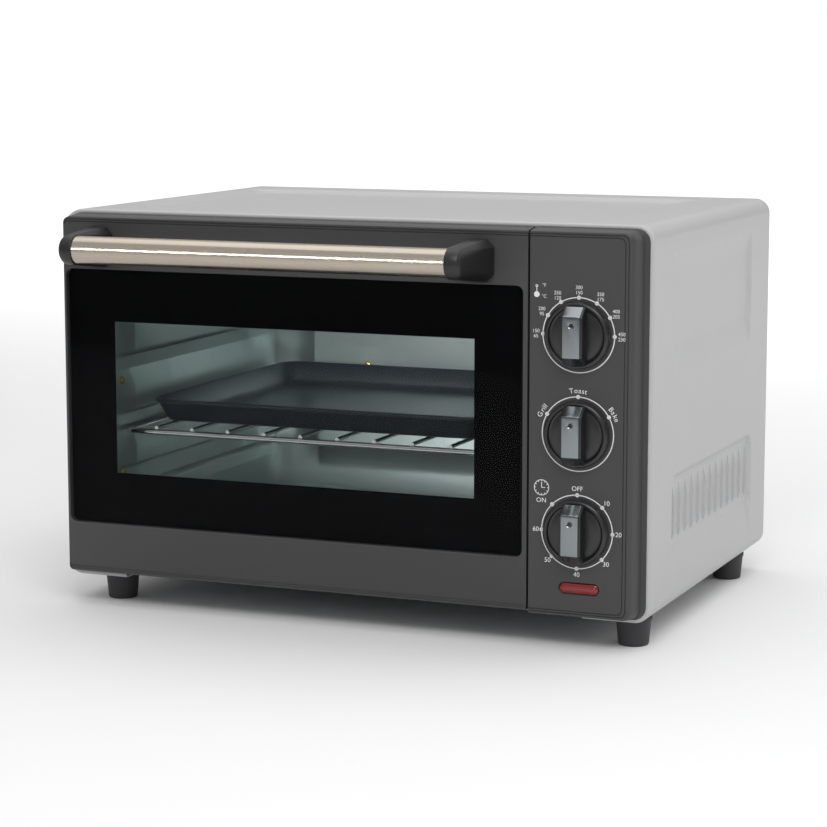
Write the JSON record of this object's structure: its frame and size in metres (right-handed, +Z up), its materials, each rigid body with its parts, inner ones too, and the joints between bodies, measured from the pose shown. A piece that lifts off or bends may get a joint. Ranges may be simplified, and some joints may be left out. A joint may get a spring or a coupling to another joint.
{
  "type": "toaster oven",
  "caption": "Countertop toaster oven with a drop-down glass door, bar handle, turning control knobs, and a wire rack with a baking tray inside.",
  "frame": {"origin": "on the worktop, under the middle of the whole oven's bounding box", "axes": "+X to the right as seen by the user, +Y from the door to the back, +Z up"},
  "size_m": [0.36, 0.3032, 0.232],
  "materials": {
    "shell_paint": "light grey powder coat",
    "galvanised_sheet": "bare galvanised sheet steel",
    "frame_paint": "matt black heat-resistant paint",
    "front_plastic": "dark grey satin moulding",
    "cavity_sheet": "aluminised sheet steel",
    "heater_metal": "oxidised steel tube",
    "ceramic": "unglazed steatite",
    "switch_plastic": "moulded phenolic",
    "copper_tube": "copper capillary",
    "bell_steel": "nickel-plated pressed steel",
    "lamp_red": "transparent red moulding",
    "black_plastic": "fine-grained moulding",
    "foot_rubber": "matt moulded",
    "screw_steel": "zinc plated",
    "spring_steel": "bright drawn wire",
    "door_glass": "clear tempered glass",
    "glass_print": "black fired enamel",
    "handle_steel": "brushed stainless steel tube",
    "knob_plastic": "satin black moulding",
    "inlay_steel": "brushed stainless steel",
    "rack_chrome": "nickel-chrome plated wire",
    "tray_enamel": "dark non-stick coating"
  },
  "bodies": {
    "cabinet": {"outer_shell": "shell_paint", "base_plate": "galvanised_sheet", "rear_panel": "shell_paint", "front_frame": "frame_paint", "control_panel": "front_plastic", "control_bracket": "galvanised_sheet", "heat_shield": "galvanised_sheet", "cavity_left_wall": "cavity_sheet", "cavity_right_wall": "cavity_sheet", "cavity_back_wall": "cavity_sheet", "cavity_roof": "cavity_sheet", "cavity_floor": "cavity_sheet", "heater_upper_front": "heater_metal", "heater_upper_rear": "heater_metal", "heater_lower_front": "heater_metal", "heater_lower_rear": "heater_metal", "heater_insulators": "ceramic", "thermostat_body": "ceramic", "thermostat_bulb": "copper_tube", "selector_switch": "switch_plastic", "timer_movement": "galvanised_sheet", "timer_bell": "bell_steel", "lamp_lens": "lamp_red", "lamp_holder": "switch_plastic", "terminal_block": "ceramic", "cord_gland": "black_plastic", "foot_front_left": "foot_rubber", "foot_front_right": "foot_rubber", "foot_rear_left": "foot_rubber", "foot_rear_right": "foot_rubber", "foot_screws": "screw_steel", "rear_screws": "screw_steel", "rear_spacers": "black_plastic", "cavity_screws": "screw_steel", "door_spring_left": "spring_steel", "door_spring_right": "spring_steel"},
    "door": {"door_frame": "front_plastic", "door_glass": "door_glass", "door_glass_mask": "glass_print", "door_inner_frame": "frame_paint", "door_inner_screws": "screw_steel", "handle_bar": "handle_steel", "handle_mount_left": "black_plastic", "handle_mount_right": "black_plastic", "handle_screws": "screw_steel", "hinge_pins": "screw_steel", "door_arm_left": "galvanised_sheet", "door_arm_right": "galvanised_sheet"},
    "temperature_control": {"temperature_knob": "knob_plastic", "temperature_knob_inlay": "inlay_steel", "thermostat_shaft": "screw_steel"},
    "function_control": {"function_knob": "knob_plastic", "function_knob_inlay": "inlay_steel", "selector_shaft": "screw_steel"},
    "timer_control": {"timer_knob": "knob_plastic", "timer_knob_inlay": "inlay_steel", "timer_shaft": "screw_steel"},
    "rack": {"wire_rack": "rack_chrome"},
    "tray": {"bake_tray": "tray_enamel"}
  },
  "joints": [
    {"name": "door_hinge", "type": "hinge", "parent": "cabinet", "child": "door", "pos_m": [0, -0.1028, 0.0252], "axis": [1, 0, 0], "range_deg": [0, 80], "stiffness_Nm_per_rad": 0.3, "springref_deg": -22.92, "deforming": ["door_spring_left", "door_spring_right"]},
    {"name": "temperature_turn", "type": "hinge", "parent": "cabinet", "child": "temperature_control", "pos_m": [0.1427, -0.1098, 0.1736], "axis": [0, 1, 0], "range_deg": [-90, 90]},
    {"name": "function_turn", "type": "hinge", "parent": "cabinet", "child": "function_control", "pos_m": [0.1427, -0.1098, 0.1198], "axis": [0, 1, 0], "range_deg": [-60, 60]},
    {"name": "timer_turn", "type": "hinge", "parent": "cabinet", "child": "timer_control", "pos_m": [0.1427, -0.1098, 0.066], "axis": [0, 1, 0], "range_deg": [-45, 270]},
    {"name": "rack_slide", "type": "slide", "parent": "cabinet", "child": "rack", "axis": [0, -1, 0], "range_m": [0, 0.098]},
    {"name": "tray_lift", "type": "slide", "parent": "rack", "child": "tray", "axis": [0, 0, 1], "range_m": [0, 0.015]}
  ],
  "couplings": [
    {"joint": "rack_slide", "follows": "door_hinge", "m_per_rad": 0.07}
  ]
}
